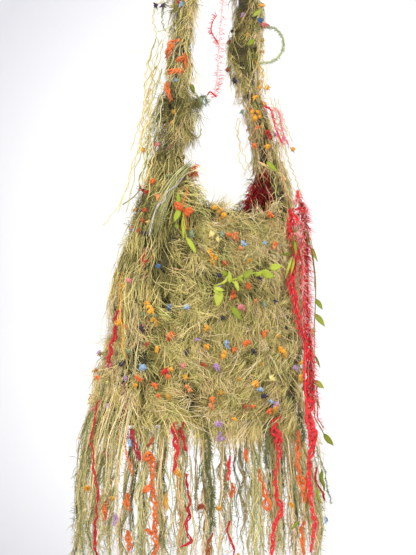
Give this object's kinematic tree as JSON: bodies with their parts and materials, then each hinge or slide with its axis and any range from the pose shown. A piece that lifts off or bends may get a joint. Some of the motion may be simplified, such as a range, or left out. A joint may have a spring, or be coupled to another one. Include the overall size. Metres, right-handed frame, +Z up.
{
  "type": "fringed yarn shoulder bag",
  "caption": "Shaggy string bag with an open scooped mouth, a looped shoulder strap, long yarn fringe and leaf-ribbon trims, hanging by its strap.",
  "frame": {"origin": "underside of the strap's highest point, where a hook, peg or shoulder carries the bag", "axes": "+Z up, +X towards the right of the front panel as seen from the front, and the front panel faces -Y"},
  "size_m": [0.4405, 0.205, 1.1088],
  "materials": {
    "pouch": "shaggy olive and khaki yarn pile with coloured slubs",
    "strap": "shaggy olive yarn pile with coloured slubs",
    "fringe": "loose olive, khaki and green yarns",
    "ribbon": "crimson lash ribbon",
    "ladder": "pink ladder yarn",
    "leaf": "lime leaf ribbon",
    "boucle": "curly green yarn",
    "bow": "orange ribbon"
  },
  "bodies": {
    "root": {"front_panel": "pouch", "back_panel": "pouch", "side_left": "pouch", "side_right": "pouch", "base": "pouch", "strap": "strap", "fringe_front": "fringe", "fringe_back": "fringe", "fringe_left": "fringe", "fringe_right": "fringe", "side_fringe_left": "fringe", "side_fringe_right": "fringe", "ribbon_tassel": "ribbon", "ladder_yarn": "ladder", "yarn_loop": "boucle", "leaf_vine_right": "leaf", "leaf_vine_front": "leaf", "leaf_vine_left": "leaf", "bow": "bow"}
  },
  "joints": []
}
